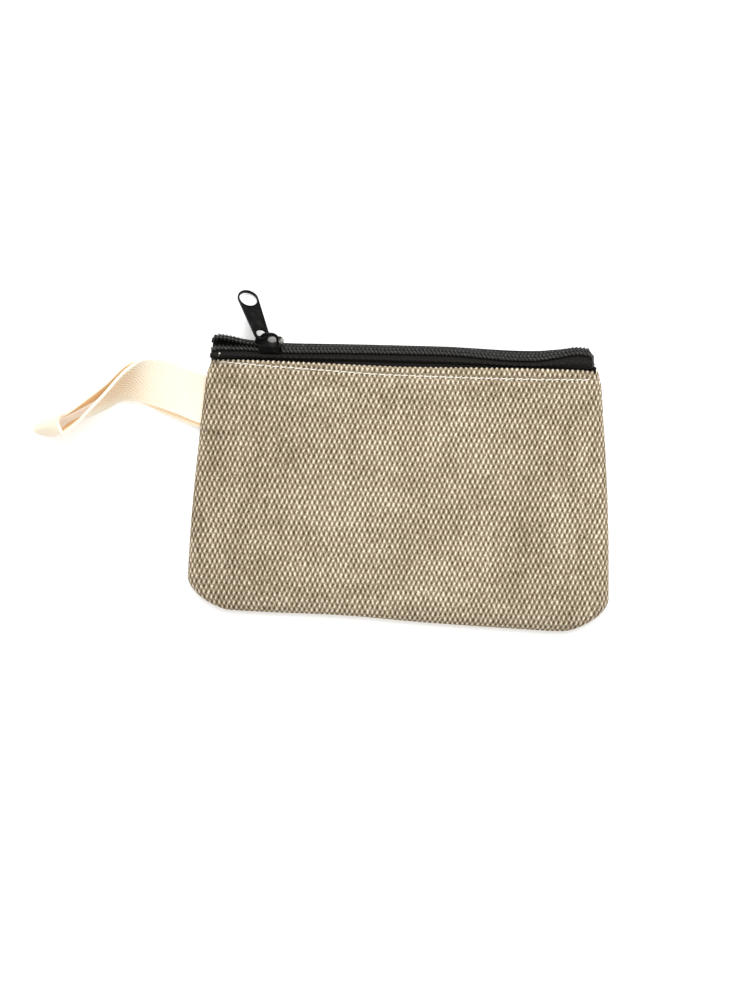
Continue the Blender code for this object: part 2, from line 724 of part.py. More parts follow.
def main():
    clear_scene()
    group = new_collection("zippered_pouch")
    cutters = new_collection("cutters")
    canvas = material("canvas", CANVAS_GREY, 0.95)
    nylon = material("zip_nylon", ZIP_BLACK, 0.55)
    webbing = material("zip_tape", ZIP_BLACK, 0.85)
    lacquer = material("black_lacquer", LACQUER_BLACK, 0.3, 0.4)
    cotton = material("cotton_tape", COTTON_CREAM, 0.92)
    thread = material("white_thread", THREAD_WHITE, 0.8)

    panel("front_panel", front_height, canvas, group)
    panel("back_panel", back_height, canvas, group)
    tape("zip_tape_front", front_tape_profile(), 1, webbing, group)
    tape("zip_tape_back", back_tape_profile(), -1, webbing, group)
    for name, side in (("zip_coil_front", 1), ("zip_coil_back", -1)):
        coil(name, side, nylon, group)

    frame = slider_frame()
    group.objects.link(frame)
    slider_body(frame, lacquer, group, cutters)
    slider_bridge(frame, lacquer, group)
    pull_tab(lacquer, group, cutters)

    wrist_loop(cotton, group)
    wrist_loop_tails(cotton, group)
    topstitch("topstitch_front", TOPSTITCH_FRONT, 1, thread, group)
    topstitch("topstitch_back", TOPSTITCH_BACK, -1, thread, group)
    seam_stitching(thread, group)
    end_tack("end_tack_left", -TACK_X, thread, group)
    end_tack("end_tack_right", TACK_X, thread, group)


main()
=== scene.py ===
"""The zippered canvas pouch as it looks: woven panels, wound zip coils and a folded cotton loop."""

import math

import bpy
import numpy as np
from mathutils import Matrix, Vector


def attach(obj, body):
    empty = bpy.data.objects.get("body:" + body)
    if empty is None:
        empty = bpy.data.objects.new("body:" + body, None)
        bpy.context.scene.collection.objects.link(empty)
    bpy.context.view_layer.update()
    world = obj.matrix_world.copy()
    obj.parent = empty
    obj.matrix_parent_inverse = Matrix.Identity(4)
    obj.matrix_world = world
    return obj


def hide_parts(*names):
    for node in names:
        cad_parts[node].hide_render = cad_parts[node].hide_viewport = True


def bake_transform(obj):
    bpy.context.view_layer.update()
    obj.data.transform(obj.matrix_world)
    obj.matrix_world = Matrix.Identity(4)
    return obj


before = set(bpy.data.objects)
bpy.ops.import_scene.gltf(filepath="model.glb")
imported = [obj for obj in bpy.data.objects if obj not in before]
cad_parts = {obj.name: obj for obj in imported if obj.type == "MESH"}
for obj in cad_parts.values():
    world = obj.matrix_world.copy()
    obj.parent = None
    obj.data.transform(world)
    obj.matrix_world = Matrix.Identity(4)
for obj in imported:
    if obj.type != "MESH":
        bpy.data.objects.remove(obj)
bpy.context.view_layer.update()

# Lengths are in millimetres, and meshes are scaled to metres when they are made. A RUN or an OVER is the
# stretch over which something comes in, from its start to its end.
MM = 0.001
TINY = 1e-12

# Canvas body.
HALF_WIDTH_BOTTOM = 70.3
SIDE_TAPER = 5.4
TOP_NARROWING, TOP_NARROWS_FROM = 0.6, 0.93
TOP_Y = 41.3
TOP_DIP, TOP_DIP_X, TOP_DIP_WIDTH = 0.85, -3.0, 32.0
BOTTOM_Y = -43.7
BOTTOM_SLOPE = -0.035
BOTTOM_BOW, BOTTOM_BOW_X, BOTTOM_BOW_WIDTH = 0.7, -18.0, 20.0
CORNER_LIFT_RUN = (50.0, 66.0)
CORNER_X = 15.0
CORNER_Y = 10.5
CORNER_POWER = 1.65
SEAM_Z = 2.0
SEAM_RISE, SEAM_RISES_FROM = 1.9, 0.78
SEAM_HALF_GAP = 0.05
FLOOR_GAP = 0.02
FRONT_ROLL = 2.5
FRONT_PUFF = 3.8
PUFF_REACH = 9.0
PUFF_LOSS = 0.12
BACK_ROLL = 2.4
BACK_LIFT = 1.4
BACK_LIFT_RUN = (36.8, 39.4)
CLOTH = 0.95
FOLD = 0.9
PANEL_GRID = (420, 232)
PANEL_INNER_STEP = 4
EDGE_CROWDING = 0.35

# Unevenness of the cloth: slow ripples over the panel and gathers along its seams.
RIPPLE = 0.13
RIPPLE_EASE = 10.0
PUCKER = 0.16
PUCKER_REACH = 3.2
PUCKER_EASE = 0.8

# Hem of the front panel: a groove under the topstitching and a ridge above it.
GROOVE = 0.32
GROOVE_WIDTH = 0.8
HEM_RIDGE = 0.28
HEM_RIDGE_RUN = (0.2, 1.4)
HEM_EASE = 4.0

# Where the wrist loop comes out of the left seam.
OUTLET_LOW_Y, OUTLET_HIGH_Y = 18.8, 37.4
OUTLET_EASE = 3.0
OUTLET_INSET = 0.5
OUTLET_REACH = 7.0
OUTLET_LIFT = 1.7
OUTLET_SINK = 0.55

# Weave: the pitch of the cream warp across X and of the dark weft along Y.
WARP = 0.835
WEFT = 1.7
RELIEF = 0.17
RIM_RELIEF = 0.3
RELIEF_EASE = 1.2
FLOAT_ROUNDING = 0.75
UNEVENNESS = 0.3
LEAN = 0.05
THREAD_DRIFT = 0.12

# Which stretch of the front wall is free to open.
LEFT_FREES_OVER = (-61.0, -24.0)
RIGHT_HELD_OVER = (8.0, 50.0)
FREE_FROM_Y = -44.0
FREE_HEIGHT = 70.0
FREE_POWER = 0.7

# Chain of the zip: its line, the directions across and out of it, and how it wanders and ends. A wander is
# (x, shift in Y). A dive is how fast an end drops in Y and in Z, with the square of the way past its start.
CHAIN_Y = 46.05
CHAIN_Z = 7.4
CHAIN_ELEVATION = math.radians(42.0)
NORMAL = np.array([0.0, math.cos(CHAIN_ELEVATION), math.sin(CHAIN_ELEVATION)])
ACROSS = np.array([0.0, -math.sin(CHAIN_ELEVATION), math.cos(CHAIN_ELEVATION)])
ZIP_WANDER = (
    (-64.0, 0.1),
    (-52.0, -0.1),
    (-40.0, -0.85),
    (-20.0, -0.4),
    (0.0, -0.15),
    (15.0, -0.1),
    (25.0, -0.65),
    (35.0, -1.2),
    (44.0, -0.95),
    (51.0, 0.3),
    (56.0, 1.3),
    (60.0, 1.1),
    (64.0, 0.5),
)
DIVE_LEFT_X, DIVE_RIGHT_X = -61.5, 60.0
DIVE_LEFT, DIVE_RIGHT = (0.15, 0.1), (0.5, 0.34)
SLIDER_X = -44.9
SPLIT = 0.6
SPLIT_HALF_RUN = 2.0
SPLAY_RUN = (50.1, 62.0)
SPLAY_BOTH = 0.5
SPLAY_BACK = 0.3
SPLAY_RISE = 1.5

# Coil, core cord and binding thread of each row.
TOOTH = 1.27
WIRE = 0.27
COIL_REACH = 1.0
COIL_RISE = 0.4
COIL_MIDDLE = 0.78
COIL_LIFT = -0.08
COIL_LEFT, COIL_RIGHT = -63.9, 62.3
TURNS = int((COIL_RIGHT - COIL_LEFT) / TOOTH)
POINTS_PER_TURN = 14
TURN_FULLNESS = 0.8
HEAD_ACROSS = -0.2
HEAD_HEIGHTS = (-0.35, 0.45)
HEAD_RADIUS = 0.3
CORE_ACROSS = 0.25
CORE_SINK = 0.17
CORE_RADIUS = 0.36
BINDING_PHASE = 0.65
BINDING_HALF = 0.4
BINDING_ACROSS = 0.62
BINDING_LEAN = 0.12
BINDING_LIFT = 0.47
BINDING_ARCH = 0.36
BINDING_RADIUS = 0.15

# Tapes of the zip.
TAPE_LEFT, TAPE_RIGHT = 64.2, 62.8
TAPE_DEPTH = 0.8
TAPE_THICKNESS = 0.45
TAPE_GRID = (380, 42)
TAPE_LOOSE_OVER = (0.42, 0.95)
WRINKLE_LEFT, WRINKLE_LEFT_RUN = 0.12, (28.0, 40.0)
WRINKLE_ALL = 0.05
WRINKLES_FROM, WRINKLES_SHARE = 0.45, 0.4
HEM_Z = 7.3
HEM_INSET = 1.4
HEM_ROOM = 2.4
LINING_DEPTH = 1.55

# Wrist loop: upper and lower edge of the tape at each station, from seam to seam.
LOOP_WIDTH = 15.9
LOOP_THICKNESS = 0.85
LOOP_SOFT_EDGE = 0.35
LOOP_GRID = (26, 420)
LOOP_WAVE = 0.16
LOOP_WAVE_REACH = 3.1
# Centre of the painted warm shade round the loop's bend.
BEND_SHADE_CENTRE = (-95.0, 30.0, 13.5)
HERRINGBONE = 1.25
HERRINGBONE_BAND = LOOP_WIDTH / 6
LOOP_STATIONS = (
    ((-63.4, 35.9, 3.35), (-65.2, 20.1, 3.35)),
    ((-67.2, 36.4, 3.75), (-68.9, 20.6, 3.65)),
    ((-75.6, 39.2, 6.4), (-77.0, 23.7, 4.3)),
    ((-84.4, 40.4, 10.8), (-86.2, 26.4, 3.2)),
    ((-90.6, 36.4, 14.4), (-93.9, 27.1, 1.5)),
    ((-97.3, 28.0, 15.8), (-99.5, 24.3, 0.75)),
    ((-102.9, 21.6, 16.3), (-104.9, 21.7, 0.7)),
    ((-105.3, 19.0, 16.2), (-107.8, 20.9, 0.7)),
    ((-108.2, 16.4, 16.0), (-111.4, 18.9, 0.7)),
    ((-111.0, 15.2, 14.4), (-116.6, 14.9, 0.8)),
    ((-113.2, 18.2, 12.0), (-123.0, 15.9, 0.8)),
    ((-112.0, 20.4, 12.6), (-121.2, 19.3, 0.8)),
    ((-108.9, 21.8, 14.8), (-113.6, 21.3, 0.7)),
    ((-103.6, 25.8, 16.2), (-105.2, 25.9, 0.7)),
    ((-97.0, 31.3, 15.9), (-99.1, 29.1, 0.7)),
    ((-91.0, 37.6, 12.6), (-93.6, 28.7, 0.75)),
    ((-85.2, 39.5, 8.5), (-86.7, 26.3, 1.1)),
    ((-76.0, 37.9, 4.6), (-77.4, 22.3, 2.0)),
    ((-67.2, 35.0, 2.25), (-68.9, 19.2, 2.1)),
    ((-63.4, 34.6, 2.1), (-65.2, 18.8, 2.1)),
)

# Threads.
TOPSTITCH_FRONT = (
    (-61.5, 40.4),
    (-45.0, 39.3),
    (-30.0, 38.6),
    (-8.0, 37.6),
    (20.0, 37.4),
    (45.0, 37.6),
    (62.0, 38.2),
)
TOPSTITCH_BACK = ((-61.0, 39.9), (61.0, 39.9))
STITCH = 2.5
STITCH_GAP = 0.35
STITCH_START = 0.3
STITCH_CROWN = 0.26
STITCH_DIVE = 0.55
STITCH_POINTS = 8
STITCH_SLANT_FRONT, STITCH_SLANT_BACK = 0.14, 0.12
STITCH_RADIUS_FRONT, STITCH_RADIUS_BACK = 0.2, 0.22
STITCH_BACK_FLATNESS = 0.8
TACK_LEFT_X, TACK_RIGHT_X = -61.3, 61.4
TACK_Y, TACK_Z = 42.6, 9.75
TACK_STEP = 0.25
TACK_STITCHES = 2
TACK_LEAN = 0.2
TACK_HALF = 0.5
TACK_ARCH = 0.3
TACK_RADIUS = 0.12

# Camera and light, with places in metres.
LENS, SENSOR = 51.6, 36.0
CAMERA_PLACE = (-0.0086, -0.0036, 0.48)
CAMERA_ROLL = math.radians(1.76)
WORLD_COLOR = (1.0, 0.985, 0.965, 1.0)
WORLD_STRENGTH = 0.66
LAMPS = (
    ("key", (0.06, 0.6, 0.75), 0.8, 9.6),
    ("fill", (-0.3, -0.3, 0.9), 1.2, 2.4),
)


# Small helpers -------------------------------------------------------------------


def smooth(value, start, end):
    """0 before start, 1 after end and an even S between them."""
    t = np.clip((value - start) / (end - start), 0.0, 1.0)
    return t * t * (3.0 - 2.0 * t)


def through(points, t):
    """Points at t, from 0 to 1, on a Catmull-Rom curve."""
    points = np.asarray(points, float)
    last = len(points) - 1
    at = np.clip(np.asarray(t, float), 0.0, 1.0) * last
    i = np.minimum(at.astype(int), last - 1)
    f = (at - i)[:, None]
    a, b = points[np.maximum(i - 1, 0)], points[i]
    c, d = points[i + 1], points[np.minimum(i + 2, last)]
    square = 2 * a - 5 * b + 4 * c - d
    cube = 3 * b - a - 3 * c + d
    return 0.5 * (2 * b + (c - a) * f + square * f**2 + cube * f**3)


def mesh_object(name, points, faces, finish, rest=None):
    """A mesh object from points in millimetres; rest holds each point's place on the flat cloth."""
    mesh = bpy.data.meshes.new(name)
    mesh.from_pydata([tuple(p) for p in np.asarray(points) * MM], [], faces)
    mesh.validate()
    mesh.shade_smooth()
    if rest is not None:
        layer = mesh.attributes.new("rest", "FLOAT_VECTOR", "POINT")
        layer.data.foreach_set("vector", np.asarray(rest, np.float32).ravel())
    obj = bpy.data.objects.new(name, mesh)
    bpy.context.scene.collection.objects.link(obj)
    mesh.materials.append(finish)
    return obj


def grid_faces(columns, rows, first=0, flip=False):
    """Quads of a grid whose points run along columns first."""
    i, j = np.meshgrid(np.arange(columns - 1), np.arange(rows - 1))
    a = (first + j * columns + i).ravel()
    quads = np.stack([a, a + 1, a + columns + 1, a + columns], axis=1)
    return (quads[:, ::-1] if flip else quads).tolist()


def tubes(name, lines, radius, finish, resolution=2):
    """Round wires along the lines, with closed ends, as one mesh."""
    data = bpy.data.curves.new(name, "CURVE")
    data.dimensions = "3D"
    data.bevel_depth = radius * MM
    data.bevel_resolution = resolution
    data.use_fill_caps = True
    for line in lines:
        spline = data.splines.new("POLY")
        spline.points.add(len(line) - 1)
        flat = np.c_[np.asarray(line) * MM, np.ones(len(line))]
        spline.points.foreach_set("co", flat.ravel())
    guide = bpy.data.objects.new(name + "_guide", data)
    bpy.context.scene.collection.objects.link(guide)
    graph = bpy.context.evaluated_depsgraph_get()
    mesh = bpy.data.meshes.new_from_object(guide.evaluated_get(graph))
    bpy.data.objects.remove(guide, do_unlink=True)
    mesh.name = name
    mesh.shade_smooth()
    mesh.materials.clear()
    mesh.materials.append(finish)
    obj = bpy.data.objects.new(name, mesh)
    bpy.context.scene.collection.objects.link(obj)
    return obj


def lengths(path):
    """Distance from a path's first point to each of its points."""
    return np.concatenate([[0.0], np.cumsum(np.linalg.norm(np.diff(path, axis=0), axis=1))])


def points_of(obj):
    """An object's points in millimetres."""
    points = np.empty(len(obj.data.vertices) * 3)
    obj.data.vertices.foreach_get("co", points)
    return points.reshape(-1, 3) / MM


# Materials -------------------------------------------------------------------------


class Finish:
    """A Principled material and short ways to add nodes to it."""

    def __init__(self, name, roughness, specular, color=(0.5, 0.5, 0.5)):
        self.material = bpy.data.materials.new(name)
        self.material.use_nodes = True
        self.tree = self.material.node_tree
        self.shader = self.tree.nodes["Principled BSDF"]
        self.shader.inputs["Base Color"].default_value = (*color, 1.0)
        self.shader.inputs["Roughness"].default_value = roughness
        self.shader.inputs["Specular IOR Level"].default_value = specular

    def put(self, value, socket):
        """Feed a socket from a node's output, or set its own value."""
        if isinstance(value, bpy.types.NodeSocket):
            self.tree.links.new(value, socket)
        else:
            socket.default_value = value

    def math(self, operation, *values):
        node = self.tree.nodes.new("ShaderNodeMath")
        node.operation = operation
        for value, socket in zip(values, node.inputs):
            self.put(value, socket)
        return node.outputs[0]

    def ramp(self, value, low, high, to_low=0.0, to_high=1.0):
        """A smooth step from one value at low to another at high."""
        node = self.tree.nodes.new("ShaderNodeMapRange")
        node.interpolation_type = "SMOOTHSTEP"
        for key, item in (("Value", value), ("From Min", low), ("From Max", high)):
            self.put(item, node.inputs[key])
        self.put(to_low, node.inputs["To Min"])
        self.put(to_high, node.inputs["To Max"])
        return node.outputs[0]

    def mix(self, factor, a, b, blend="MIX"):
        node = self.tree.nodes.new("ShaderNodeMix")
        node.data_type = "RGBA"
        node.blend_type = blend
        self.put(factor, node.inputs[0])
        self.put((*a, 1.0) if isinstance(a, tuple) else a, node.inputs[6])
        self.put((*b, 1.0) if isinstance(b, tuple) else b, node.inputs[7])
        return node.outputs[2]

    def rest(self):
        """Place on the flat cloth, in millimetres."""
        node = self.tree.nodes.new("ShaderNodeAttribute")
        node.attribute_name = "rest"
        return node.outputs["Vector"]

    def local(self):
        """Place on the object, in metres."""
        node = self.tree.nodes.new("ShaderNodeTexCoord")
        return node.outputs["Object"]

    def scaled(self, vector, x, y, z):
        node = self.tree.nodes.new("ShaderNodeMapping")
        self.put(vector, node.inputs["Vector"])
        node.inputs["Scale"].default_value = (x, y, z)
        return node.outputs[0]

    def parts(self, vector):
        node = self.tree.nodes.new("ShaderNodeSeparateXYZ")
        self.put(vector, node.inputs[0])
        return node.outputs

    def near(self, vector, place, inner, outer):
        """1 within the inner distance of a place, in millimetres, falling to 0 at the outer one."""
        node = self.tree.nodes.new("ShaderNodeVectorMath")
        node.operation = "DISTANCE"
        self.put(vector, node.inputs[0])
        node.inputs[1].default_value = tuple(c * MM for c in place)
        return self.ramp(node.outputs["Value"], inner * MM, outer * MM, 1.0, 0.0)

    def noise(self, vector, detail=2.0, rough=0.5):
        node = self.tree.nodes.new("ShaderNodeTexNoise")
        self.put(vector, node.inputs["Vector"])
        node.inputs["Scale"].default_value = 1.0
        node.inputs["Detail"].default_value = detail
        node.inputs["Roughness"].default_value = rough
        return node.outputs[0]

    def bump(self, height, distance, strength=1.0):
        node = self.tree.nodes.new("ShaderNodeBump")
        node.inputs["Distance"].default_value = distance
        node.inputs["Strength"].default_value = strength
        self.put(height, node.inputs["Height"])
        self.put(node.outputs[0], self.shader.inputs["Normal"])

    def color(self, socket):
        self.put(socket, self.shader.inputs["Base Color"])

    def rough(self, socket):
        self.put(socket, self.shader.inputs["Roughness"])


def canvas_finish():
    """Plain weave: narrow cream warp floats over a brown weft, slubby, hairy and streaked, with painted shade
    darkening it towards the left seam.
    """
    look = Finish("canvas_weave", roughness=0.92, specular=0.1)
    rest = look.rest()
    drift = look.math("SUBTRACT", look.noise(look.scaled(rest, 0.3, 0.12, 0.3), 2.0), 0.5)
    tilt = look.math("SUBTRACT", look.noise(look.scaled(rest, 0.9, 0.7, 0.5), 2.0, 0.6), 0.44)
    x, y, _ = look.parts(rest)
    lean = look.math("SINE", look.math("MULTIPLY", y, math.tau / WEFT))
    x = look.math("ADD", x, look.math("MULTIPLY", drift, 0.6))
    x = look.math("SUBTRACT", x, look.math("MULTIPLY", look.math("MULTIPLY", lean, tilt), 0.9))
    wave_x = look.math("COSINE", look.math("MULTIPLY", x, math.pi / WARP))
    wave_x = look.math("MULTIPLY", wave_x, look.math("POWER", look.math("ABSOLUTE", wave_x), 0.55))
    wave_y = look.math("COSINE", look.math("MULTIPLY", y, math.pi / WEFT))
    lattice = look.math("MULTIPLY", wave_x, wave_y)
    slubs = ((1.3, 0.55, 1.0), 3.0, 1.35)
    hairs = ((3.4, 1.3, 1.0), 2.0, 1.6)
    streaks = ((1.25, 0.035, 1.0), 3.0, 0.7)
    clouds = ((0.045, 0.05, 1.0), 3.0, 0.9)
    for scale, detail, gain in (slubs, hairs, streaks, clouds):
        uneven = look.math("SUBTRACT", look.noise(look.scaled(rest, *scale), detail, 0.7), 0.5)
        lattice = look.math("ADD", lattice, look.math("MULTIPLY", uneven, gain))
    fibre = look.noise(look.scaled(rest, 6.5, 2.4, 4.0), 3.0, 0.75)
    ground = look.mix(fibre, (0.19, 0.144, 0.09), (0.41, 0.335, 0.232))
    dark = look.mix(fibre, (0.022, 0.015, 0.008), (0.125, 0.092, 0.05))
    pale = look.mix(fibre, (0.65, 0.56, 0.415), (0.96, 0.88, 0.72))
    low = look.mix(look.ramp(lattice, -0.85, -0.08), dark, ground)
    unshaded_weave = look.mix(look.ramp(lattice, 0.08, 0.82), low, pale)
    # Painted shade: the weave's colour is darkened towards the left seam, where the cloth curves down away
    # from the light.
    left_painted_shade = look.mix(look.ramp(x, -72.0, -24.0, 0.62, 0.0), unshaded_weave, (0.8, 0.775, 0.76), "MULTIPLY")
    look.color(left_painted_shade)
    raised = look.math("MULTIPLY", look.ramp(lattice, -0.6, 0.8), 0.6)
    look.bump(look.math("ADD", raised, look.math("MULTIPLY", fibre, 0.5)), 0.00022, 0.8)
    return look.material


def tape_finish():
    """Black polyester tape: a fine twill with soft cross ribs."""
    look = Finish("zip_tape_weave", roughness=0.85, specular=0.08)
    rest = look.rest()
    x, y, _ = look.parts(rest)
    ribs = look.math("COSINE", look.math("MULTIPLY", look.math("ADD", x, y), math.tau / 0.62))
    rows = look.math("COSINE", look.math("MULTIPLY", look.math("SUBTRACT", x, y), math.tau / 0.9))
    fuzz = look.noise(look.scaled(rest, 2.5, 2.5, 2.5), 4.0, 0.75)
    tone = look.math("ADD", look.math("MULTIPLY", look.math("MULTIPLY", ribs, rows), 0.25), fuzz)
    look.color(look.mix(look.ramp(tone, 0.25, 0.95), (0.0008, 0.0007, 0.0006), (0.036, 0.034, 0.0315)))
    look.bump(tone, 0.00012, 0.7)
    return look.material


def nylon_finish():
    """Black nylon of the coil, unevenly shiny."""
    look = Finish("zip_nylon_gleam", roughness=0.3, specular=0.2)
    fuzz = look.noise(look.scaled(look.local(), 900.0, 900.0, 900.0), 3.0, 0.6)
    look.color(look.mix(fuzz, (0.0008, 0.0008, 0.0008), (0.005, 0.0048, 0.0046)))
    look.rough(look.ramp(fuzz, 0.3, 0.7, 0.24, 0.45))
    return look.material


def dark_thread_finish():
    """Black thread flecked with grey, partly fluff and partly painted highlight, for the binding, the core
    cord and the right tack.
    """
    look = Finish("zip_thread_fluff_and_glint", roughness=0.75, specular=0.3)
    fuzz = look.noise(look.scaled(look.local(), 1800.0, 1800.0, 1800.0), 3.0, 0.7)
    # The grey flecks are partly fluff and partly painted highlight on the binding stitches.
    look.color(look.mix(look.ramp(fuzz, 0.3, 0.7), (0.004, 0.004, 0.0038), (0.125, 0.122, 0.117)))
    return look.material


def lacquer_finish():
    """Black lacquer of uneven tone, with grey painted highlights on the top plate and on the lug."""
    look = Finish("slider_lacquer", roughness=0.38, specular=0.09)
    place = look.local()
    wear = look.noise(look.scaled(place, 420.0, 420.0, 420.0), 4.0, 0.7)
    fine = look.noise(look.scaled(place, 2600.0, 2600.0, 2600.0), 3.0, 0.7)
    # Painted highlights: grey patches on the top plate and the lug, where the black lacquer catches the
    # light.
    plate_glint = look.near(place, slider_place(1.0, -1.0, 2.0), 0.9, 2.4)
    lug_glint = look.near(place, slider_place(4.2, 0.0, 2.6), 0.7, 1.7)
    painted_glint = look.math("MAXIMUM", plate_glint, lug_glint)
    painted_glint = look.ramp(look.math("ADD", painted_glint, look.math("MULTIPLY", fine, 0.8)), 0.75, 1.15)
    rubbed = look.mix(look.ramp(wear, 0.5, 0.75), (0.0016, 0.0015, 0.0014), (0.014, 0.0136, 0.013))
    glint_grey = look.mix(fine, (0.09, 0.088, 0.083), (0.42, 0.41, 0.39))
    look.color(look.mix(painted_glint, rubbed, glint_grey))
    look.rough(look.ramp(wear, 0.35, 0.7, 0.28, 0.52))
    look.bump(fine, 0.00003, 0.5)
    return look.material


def slider_place(along, across, normal):
    """A point in the slider's own axes, at its place on the closed zip."""
    base = np.array([SLIDER_X + along, CHAIN_Y, CHAIN_Z])
    return base + across * ACROSS + normal * NORMAL


def cotton_finish():
    """Cream cotton tape in a herringbone, with pale selvedges, furrows of a painted warm shade and a painted
    warm shade round the loop's bend.
    """
    look = Finish("cotton_tape_weave", roughness=0.92, specular=0.12)
    rest = look.rest()
    x, y, _ = look.parts(rest)
    band = look.math("PINGPONG", x, HERRINGBONE_BAND)
    slope = look.math("MULTIPLY", band, 1.15)
    chevron = look.math("COSINE", look.math("MULTIPLY", look.math("ADD", y, slope), math.tau / HERRINGBONE))
    yarn = look.math("COSINE", look.math("MULTIPLY", x, math.tau / 0.6))
    fuzz = look.noise(look.scaled(rest, 2.6, 2.6, 2.6), 4.0, 0.75)
    slow = look.noise(look.scaled(rest, 0.16, 0.11, 1.0), 2.0, 0.6)
    tone = look.math("ADD", look.math("MULTIPLY", chevron, 0.3), look.math("MULTIPLY", yarn, 0.07))
    tone = look.math("ADD", tone, fuzz)
    # Painted shade: the herringbone's furrows get a darker orange, standing in for the warm shade between its
    # ribs.
    furrow_shade = look.mix(slow, (0.83, 0.62, 0.38), (0.9, 0.76, 0.56))
    weave = look.mix(look.ramp(tone, 0.05, 0.62), furrow_shade, (0.93, 0.87, 0.735))
    # Painted shade: a darker, warmer orange round the loop's bend, standing in for the warm shade and bounced
    # light there.
    bend_shade_share = look.near(look.local(), BEND_SHADE_CENTRE, 4.0, 15.0)
    bend_warm_shade = look.mix(look.ramp(tone, 0.25, 0.7), (0.7, 0.37, 0.15), (0.97, 0.83, 0.62))
    weave = look.mix(look.math("MULTIPLY", bend_shade_share, 0.75), weave, bend_warm_shade)
    from_edge = look.math("PINGPONG", x, LOOP_WIDTH / 2)
    selvedge = look.ramp(from_edge, 0.5, 1.3, 1.0, 0.0)
    look.color(look.mix(selvedge, weave, (0.93, 0.85, 0.7)))
    look.bump(tone, 0.00018, 0.65)
    return look.material


def cotton_inner_finish():
    """The hidden face of the cotton tape, painted with warm light: a warmer cream and a faint orange glow
    stand in for light bounced and let through where the loop closes on itself.
    """
    look = Finish("cotton_tape_inner", roughness=0.92, specular=0.1)
    rest = look.rest()
    x, y, _ = look.parts(rest)
    band = look.math("PINGPONG", x, HERRINGBONE_BAND)
    slant = look.math("SUBTRACT", y, band)
    chevron = look.math("COSINE", look.math("MULTIPLY", slant, math.tau / HERRINGBONE))
    fuzz = look.noise(look.scaled(rest, 2.6, 2.6, 2.6), 4.0, 0.75)
    tone = look.math("ADD", look.math("MULTIPLY", chevron, 0.25), fuzz)
    # Painted light: a warmer cream than the outer face, and below it a faint orange glow, stand in for warm
    # light inside the loop.
    look.color(look.mix(look.ramp(tone, 0.1, 0.8), (0.94, 0.71, 0.46), (0.97, 0.87, 0.68)))
    look.bump(tone, 0.00018, 0.65)
    look.shader.inputs["Emission Color"].default_value = (1.0, 0.64, 0.38, 1.0)
    look.shader.inputs["Emission Strength"].default_value = 0.09
    return look.material


def thread_finish():
    """White sewing thread, slightly yellowed between its plies."""
    look = Finish("white_thread_ply", roughness=0.8, specular=0.2)
    twist = look.noise(look.scaled(look.local(), 2500.0, 2500.0, 2500.0), 3.0, 0.7)
    look.color(look.mix(twist, (0.62, 0.58, 0.49), (0.93, 0.91, 0.86)))
    look.bump(twist, 0.00008, 0.6)
    return look.material


def floor_finish():
    """White floor with a weak glow, which keeps its shadows light."""
    look = Finish("floor_white", roughness=1.0, specular=0.0, color=(0.95, 0.95, 0.95))
    look.shader.inputs["Emission Color"].default_value = (1.0, 0.99, 0.98, 1.0)
    look.shader.inputs["Emission Strength"].default_value = 0.2
    return look.material


# Shape of the body -----------------------------------------------------------------


def bottom_y(x):
    """The bottom edge: sloped, bowed left of the middle and lifted at its right corner."""
    bow = BOTTOM_BOW * np.exp(-(((x - BOTTOM_BOW_X) / BOTTOM_BOW_WIDTH) ** 2))
    return BOTTOM_Y + BOTTOM_SLOPE * x + bow + smooth(x, *CORNER_LIFT_RUN)


def top_y(x):
    """The mouth's edge, which dips a little left of the middle."""
    return TOP_Y - TOP_DIP * np.exp(-(((x - TOP_DIP_X) / TOP_DIP_WIDTH) ** 2))


def half_width(v):
    """Half the body's width at v, from 0 at the bottom to 1 at the mouth, with round lower corners."""
    corner = CORNER_Y / (TOP_Y - BOTTOM_Y)
    short = np.clip(1.0 - v / corner, 0.0, 1.0)
    lost = CORNER_X * (1.0 - (1.0 - short**CORNER_POWER) ** (1.0 / CORNER_POWER))
    return HALF_WIDTH_BOTTOM - SIDE_TAPER * v * v - lost - TOP_NARROWING * smooth(v, TOP_NARROWS_FROM, 1.0)


def panel_xy(u, v):
    x = u * half_width(v)
    y = bottom_y(x)
    return x, y + v * (top_y(x) - y)


def panel_uv(x, y):
    v = (y - bottom_y(x)) / (top_y(x) - bottom_y(x))
    return x / half_width(v), v


def seam_reach(u, v):
    """Distances to the nearer side and up from the bottom, and the second's share of both."""
    across = (1.0 - np.abs(u)) * half_width(v)
    up = v * (TOP_Y - BOTTOM_Y)
    return across, up, up / np.maximum(across + up, TINY)


def from_seam(u, v):
    """Distance from the seam, rounded where the side meets the bottom."""
    across, _, share = seam_reach(u, v)
    return across * share


def quarter_round(distance, radius):
    short = 1.0 - np.clip(distance / radius, 0.0, 1.0)
    return radius * np.sqrt(1.0 - short * short)


def unrolled(u, v, points, radius):
    """Where each point lies on the flat cloth, with the rolled edges laid out."""
    across, _, share = seam_reach(u, v)
    extra = (math.pi / 2 - 1.0) * (radius - quarter_round(across * share, radius))
    shift = np.stack([np.sign(u) * share * extra, (share - 1.0) * extra, np.zeros_like(extra)], -1)
    return points + shift


def seam_height(v):
    return SEAM_Z + SEAM_RISE * smooth(v, SEAM_RISES_FROM, 1.0)


def at_loop(u, v):
    """1 where the wrist loop's tape comes out of the left seam, 0 elsewhere."""
    y = panel_xy(u, v)[1]
    above = smooth(y, OUTLET_LOW_Y - OUTLET_EASE, OUTLET_LOW_Y + OUTLET_INSET)
    below = 1.0 - smooth(y, OUTLET_HIGH_Y - OUTLET_INSET, OUTLET_HIGH_Y + OUTLET_EASE)
    inward = np.exp(-(1.0 - np.abs(u)) * half_width(v) / OUTLET_REACH)
    return above * below * np.where(u < 0, 1.0, 0.0) * inward


